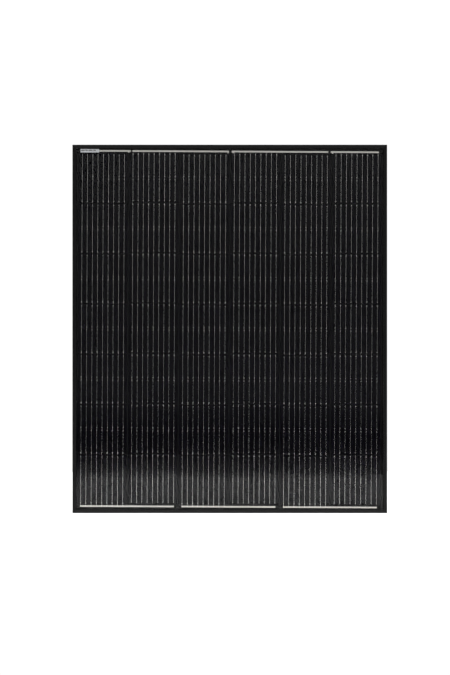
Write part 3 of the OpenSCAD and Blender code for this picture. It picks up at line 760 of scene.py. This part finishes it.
def half_round(vertices, faces, path, closed, radius, depth, sides=7):
    """Half-round moulded rib along (x, z) points, standing back from a face at the given depth."""
    first = len(vertices)
    count = len(path)
    for i, (x, z) in enumerate(path):
        before = path[i - 1] if closed or i else path[i]
        after = path[(i + 1) % count] if closed or i < count - 1 else path[i]
        along = Vector((after[0] - before[0], after[1] - before[1])).normalized()
        size = 1.0 if closed else min(1.0, 0.25 + 0.75 * min(i, count - 1 - i))
        for k in range(sides):
            a = math.pi * k / (sides - 1)
            across, rise = radius * size * math.cos(a), radius * size * math.sin(a) - 0.1
            vertices.append(Vector((
                (x - along.y * across) * MM, y_at(depth + rise), (z + along.x * across) * MM)))
    for i in range(count if closed else count - 1):
        a, b = first + i * sides, first + (i + 1) % count * sides
        faces += [(a + k, b + k, b + k + 1, a + k + 1) for k in range(sides - 1)]
    if not closed:
        faces.append(tuple(first + k for k in range(sides)))
        faces.append(tuple(first + (count - 1) * sides + k for k in reversed(range(sides))))


def rounded_path(half_w, half_h, corner, middle_z, per_corner=8):
    path = []
    for sx, sz, start in ((1, 1, 0), (-1, 1, 90), (-1, -1, 180), (1, -1, 270)):
        for i in range(per_corner + 1):
            a = math.radians(start + 90 * i / per_corner)
            path.append((sx * (half_w - corner) + corner * math.cos(a),
                         middle_z + sz * (half_h - corner) + corner * math.sin(a)))
    return path


def lid_ribs():
    """A stiffening rib round the lid, and grip ribs above its snap tabs."""
    rim_half_w, rim_half_h, rim_corner, rim_radius = 60, 41, 6, 1.1
    grips, grip_pitch, grip_half_w, grip_radius, first_grip = 5, 3.2, 17, 0.9, BOX_BOTTOM + 14
    steps = 12
    vertices, faces = [], []
    rim = rounded_path(rim_half_w, rim_half_h, rim_corner, (BOX_TOP + BOX_BOTTOM) / 2)
    half_round(vertices, faces, rim, True, rim_radius, LID_BACK)
    for i in range(grips):
        z = first_grip + grip_pitch * i
        path = [(grip_half_w * (2 * k / steps - 1), z) for k in range(steps + 1)]
        half_round(vertices, faces, path, False, grip_radius, LID_BACK)
    new_piece("lid_ribs", vertices, faces, "box_plastic", body="lid")


def gland_threads():
    """Right-hand thread on each gland's neck, under the cap nut. It shows when the nut is unscrewed."""
    per_turn = 30
    turns = (THREAD_END - THREAD_START) / THREAD_PITCH
    count = int(turns * per_turn)
    for side, name in ((-1, "left"), (1, "right")):
        vertices = []
        for i in range(count + 1):
            a = 2 * math.pi * i / per_turn
            z = BOX_BOTTOM - THREAD_END + THREAD_PITCH * i / per_turn
            fade = min(1.0, i / per_turn * 2, (count - i) / per_turn * 2)
            crest = NECK_R - 0.05 + (THREAD_CREST - NECK_R + 0.05) * fade
            for r, up in ((NECK_R - 0.1, -0.62), (crest, -0.1), (crest, 0.1), (NECK_R - 0.1, 0.62)):
                vertices.append(Vector((
                    (side * GLAND_X + r * math.cos(a)) * MM, y_at(GLAND_DEPTH) + r * math.sin(a) * MM,
                    (z + up) * MM)))
        new_piece(f"neck_thread_{name}", vertices, ring_faces(count + 1, 4), "gland_plastic",
                  smooth=False)


# ---- Studio ----

def camera():
    data = bpy.data.cameras.new("camera")
    data.sensor_width = SENSOR
    data.lens = SENSOR * CAMERA_DISTANCE / VIEW_HEIGHT
    data.clip_end = 100
    eye = bpy.data.objects.new("camera", data)
    eye.location = (CAMERA_X, y_at(0) - CAMERA_DISTANCE, CAMERA_Z)
    eye.rotation_euler = (math.pi / 2, 0, 0)
    bpy.context.scene.collection.objects.link(eye)
    bpy.context.scene.camera = eye


def floor():
    """White paper under the module with a painted glow, though it is no lamp: brightest in front of the
    module, lower close to and under it as painted shade, and less towards its edges.
    """
    near_start, near_end = -0.4, -0.04
    edge_end, side_start = -1.0, 0.62
    g = Graph("white_paper_painted_glow")
    x, y = g.add("SeparateXYZ", {0: g.point()}).outputs[:2]
    # Painted shade: the glow drops towards the module and stays low under and behind it
    near = g.add("MapRange", {"Value": y, "From Min": near_start, "From Max": near_end,
                              "To Min": FLOOR_GLOW, "To Max": FLOOR_GLOW_PAINTED_SHADE}).outputs[0]
    far = g.add("MapRange", {"Value": y, "From Min": FLOOR_FRONT, "From Max": edge_end,
                             "To Min": FLOOR_GLOW_EDGE, "To Max": FLOOR_GLOW}).outputs[0]
    side = g.add("MapRange", {"Value": g.math("ABSOLUTE", x), "From Min": side_start,
                              "From Max": FLOOR_HALF_WIDTH, "To Min": 1.0, "To Max": 0.0}).outputs[0]
    glow = g.math("MAXIMUM", g.math("MULTIPLY", g.math("MINIMUM", near, far), side), FLOOR_GLOW_LEAST)
    # The emission is painted light, not a lamp
    paper = g.principled(g.mix(g.noise(0.4, 2), 0.86, 0.9), 0.75, specular=0.2,
                         emission=(1, 1, 1, 1), glow=glow)
    mesh = bpy.data.meshes.new("floor")
    z = -PANEL_H / 2 * MM
    corners = [(-FLOOR_HALF_WIDTH, FLOOR_FRONT, z), (FLOOR_HALF_WIDTH, FLOOR_FRONT, z),
               (FLOOR_HALF_WIDTH, FLOOR_REAR, z), (-FLOOR_HALF_WIDTH, FLOOR_REAR, z)]
    mesh.from_pydata(corners, [], [(0, 1, 2, 3)])
    mesh.materials.append(paper)
    sheet = bpy.data.objects.new("floor", mesh)
    bpy.context.scene.collection.objects.link(sheet)


def soft_light(name, place, aim, width, height, radiance, in_gloss=True):
    data = bpy.data.lights.new(name, "AREA")
    data.shape = "RECTANGLE"
    data.size = width
    data.size_y = height
    data.energy = radiance * math.pi * width * height
    lamp = bpy.data.objects.new(name, data)
    lamp.location = place
    lamp.rotation_euler = (Vector(aim) - Vector(place)).to_track_quat("-Z", "Y").to_euler()
    lamp.visible_glossy = in_gloss
    bpy.context.scene.collection.objects.link(lamp)


def surroundings():
    """White all round for the eye, and an even grey as fill light. What shines sees a dim room instead."""
    world = bpy.data.worlds.new("studio")
    bpy.context.scene.world = world
    world.cycles.sampling_method = "NONE"
    g = Graph("studio", world)
    direction = g.add("SeparateXYZ", {0: g.add("TexCoord").outputs["Generated"]})
    # -Y is the side that the camera stands on. ROOM fades in from 22 degrees of it to 10.
    front = g.math("MULTIPLY", direction.outputs[1], -1.0)
    behind_camera = g.smooth(front, 0.93, 0.985)
    height = direction.outputs[2]
    room = g.mix(behind_camera, g.ramp(height, SIDES), g.ramp(height, ROOM))
    dim = g.add("Background", {"Color": room})
    fill = g.add("Background", {"Color": (1, 1, 1, 1), "Strength": FILL})
    white = g.add("Background", {"Color": (1, 1, 1, 1), "Strength": WHITE})
    path = g.add("LightPath")
    unseen = g.add("MixShader", {0: path.outputs["Is Glossy Ray"], 1: fill, 2: dim})
    seen = g.add("MixShader", {0: path.outputs["Is Camera Ray"], 1: unseen, 2: white})
    g.join(seen, g.out.inputs["Surface"])


def studio():
    camera()
    floor()
    surroundings()
    soft_light("left_softbox", (-3.2, -2.6, 0.6), (0, 0, 0), 1.6, 2.6, 2.0, in_gloss=False)
    soft_light("right_softbox", (3.2, -2.6, 0.6), (0, 0, 0), 1.6, 2.6, 2.0, in_gloss=False)
    soft_light("top_softbox", (0, -0.8, 3.2), (0, 0, -0.2), 3.0, 2.0, 2.5)
    soft_light("back_softbox", (-2.4, 2.6, 2.0), (0, 0, 0), 1.6, 1.6, 5.0)
    soft_light("back_strip", (2.6, 2.0, 0.7), (0, 0, 0), 0.5, 2.2, 4.0)
    bpy.context.scene.view_settings.view_transform = "Standard"


# ---- Assembly ----

dress_frame()
silicone_bead()
dress_laminate()
encapsulant_film()
for number in range(1, COLUMNS + 1):
    string_wires(number)
    solder_pads(number)
bus_ribbons()
dress_box()
lid_ribs()
gland_threads()
studio()
